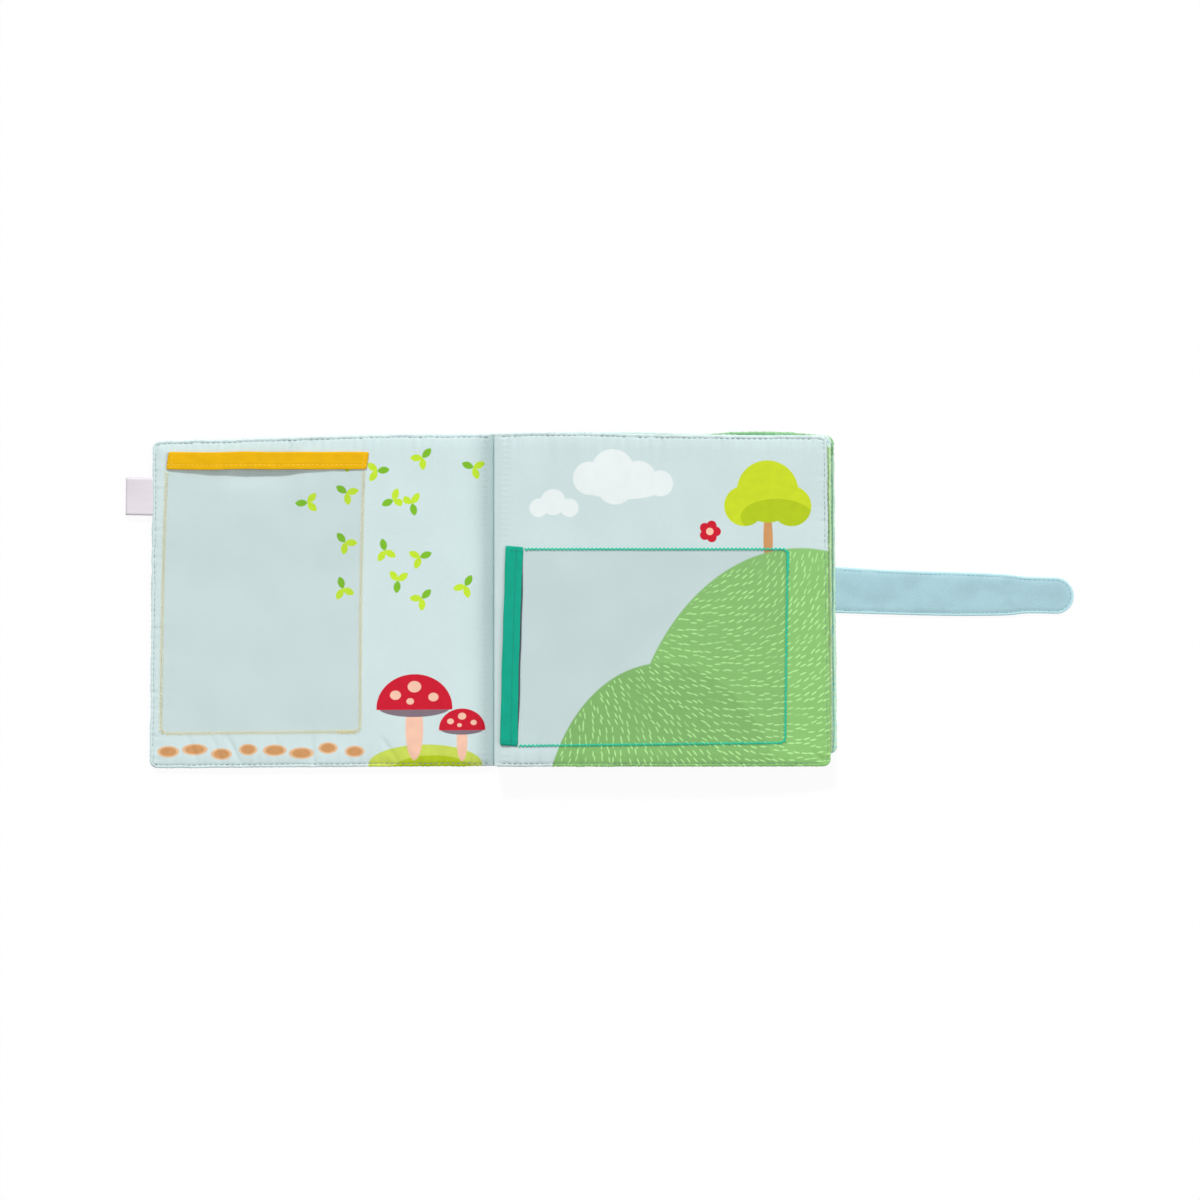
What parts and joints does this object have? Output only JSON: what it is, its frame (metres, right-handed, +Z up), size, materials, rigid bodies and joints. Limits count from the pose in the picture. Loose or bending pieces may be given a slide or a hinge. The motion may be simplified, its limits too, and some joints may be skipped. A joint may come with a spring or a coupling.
{
  "type": "baby photo album",
  "caption": "Soft cloth photo album that opens like a book, with padded pages, clear window pockets bound in tape, and a velour closing strap.",
  "frame": {"origin": "on the surface the album lies on, under the middle of the spine", "axes": "+X from the spine to the closing strap, +Y to the head of the pages, +Z up, with the album lying open at its first spread"},
  "size_m": [0.5213, 0.182, 0.015],
  "materials": {
    "page_cloth": "matt printed velour",
    "cover_cloth": "matt velour",
    "wadding": "soft",
    "window_film": "clear, soft",
    "pocket_seam": "sewn",
    "yellow_tape": "folded tape",
    "teal_tape": "folded tape",
    "strap_velour": "matt velour",
    "hook_tape": "hooked",
    "label_ribbon": "woven ribbon"
  },
  "bodies": {
    "back_cover": {"back_cover_inner_cloth": "page_cloth", "back_cover_outer_cloth": "cover_cloth", "back_cover_wadding": "wadding", "back_cover_spine_margin": "page_cloth", "back_cover_pocket_film": "window_film", "back_cover_pocket_tape": "teal_tape", "back_cover_pocket_seam": "pocket_seam", "spine_seam": "page_cloth", "spine_cloth": "cover_cloth"},
    "leaf_2": {"leaf_2_front_cloth": "page_cloth", "leaf_2_back_cloth": "page_cloth", "leaf_2_wadding": "wadding", "leaf_2_spine_margin": "page_cloth", "leaf_2_front_pocket_film": "window_film", "leaf_2_front_pocket_tape": "teal_tape", "leaf_2_front_pocket_seam": "pocket_seam", "leaf_2_back_pocket_film": "window_film", "leaf_2_back_pocket_tape": "yellow_tape", "leaf_2_back_pocket_seam": "pocket_seam"},
    "leaf_1": {"leaf_1_front_cloth": "page_cloth", "leaf_1_back_cloth": "page_cloth", "leaf_1_wadding": "wadding", "leaf_1_spine_margin": "page_cloth", "leaf_1_front_pocket_film": "window_film", "leaf_1_front_pocket_tape": "teal_tape", "leaf_1_front_pocket_seam": "pocket_seam", "leaf_1_back_pocket_film": "window_film", "leaf_1_back_pocket_tape": "yellow_tape", "leaf_1_back_pocket_seam": "pocket_seam"},
    "front_cover": {"front_cover_inner_cloth": "page_cloth", "front_cover_outer_cloth": "cover_cloth", "front_cover_wadding": "wadding", "front_cover_spine_margin": "page_cloth", "front_cover_pocket_film": "window_film", "front_cover_pocket_tape": "yellow_tape", "front_cover_pocket_seam": "pocket_seam", "front_cover_hook_patch": "hook_tape"},
    "label": {"label_ribbon": "label_ribbon"},
    "strap_bridge": {"strap_bridge_face": "strap_velour", "strap_bridge_back": "strap_velour"},
    "strap_tail": {"strap_tail_face": "strap_velour", "strap_tail_back": "strap_velour"}
  },
  "joints": [
    {"name": "front_cover_turn", "type": "hinge", "parent": "back_cover", "child": "front_cover", "pos_m": [0, 0, 0.0101], "axis": [0, 1, 0], "range_deg": [0, 180]},
    {"name": "leaf_2_turn", "type": "hinge", "parent": "back_cover", "child": "leaf_2", "pos_m": [0, 0, 0.0101], "axis": [0, -1, 0], "range_deg": [0, 180]},
    {"name": "leaf_1_turn", "type": "hinge", "parent": "leaf_2", "child": "leaf_1", "pos_m": [0, 0, 0.0101], "axis": [0, -1, 0], "range_deg": [0, 180]},
    {"name": "strap_lift", "type": "hinge", "parent": "back_cover", "child": "strap_bridge", "pos_m": [0.1883, 0.0044, 0.0016], "axis": [0, -1, 0], "range_deg": [0, 90]},
    {"name": "strap_fold", "type": "hinge", "parent": "strap_bridge", "child": "strap_tail", "pos_m": [0.2072, 0.0044, 0.0016], "axis": [0, -1, 0], "range_deg": [0, 90]},
    {"name": "label_flop", "type": "hinge", "parent": "front_cover", "child": "label", "pos_m": [-0.1883, 0.058, 0.00275], "axis": [0, 1, 0], "range_deg": [0, 90]}
  ]
}
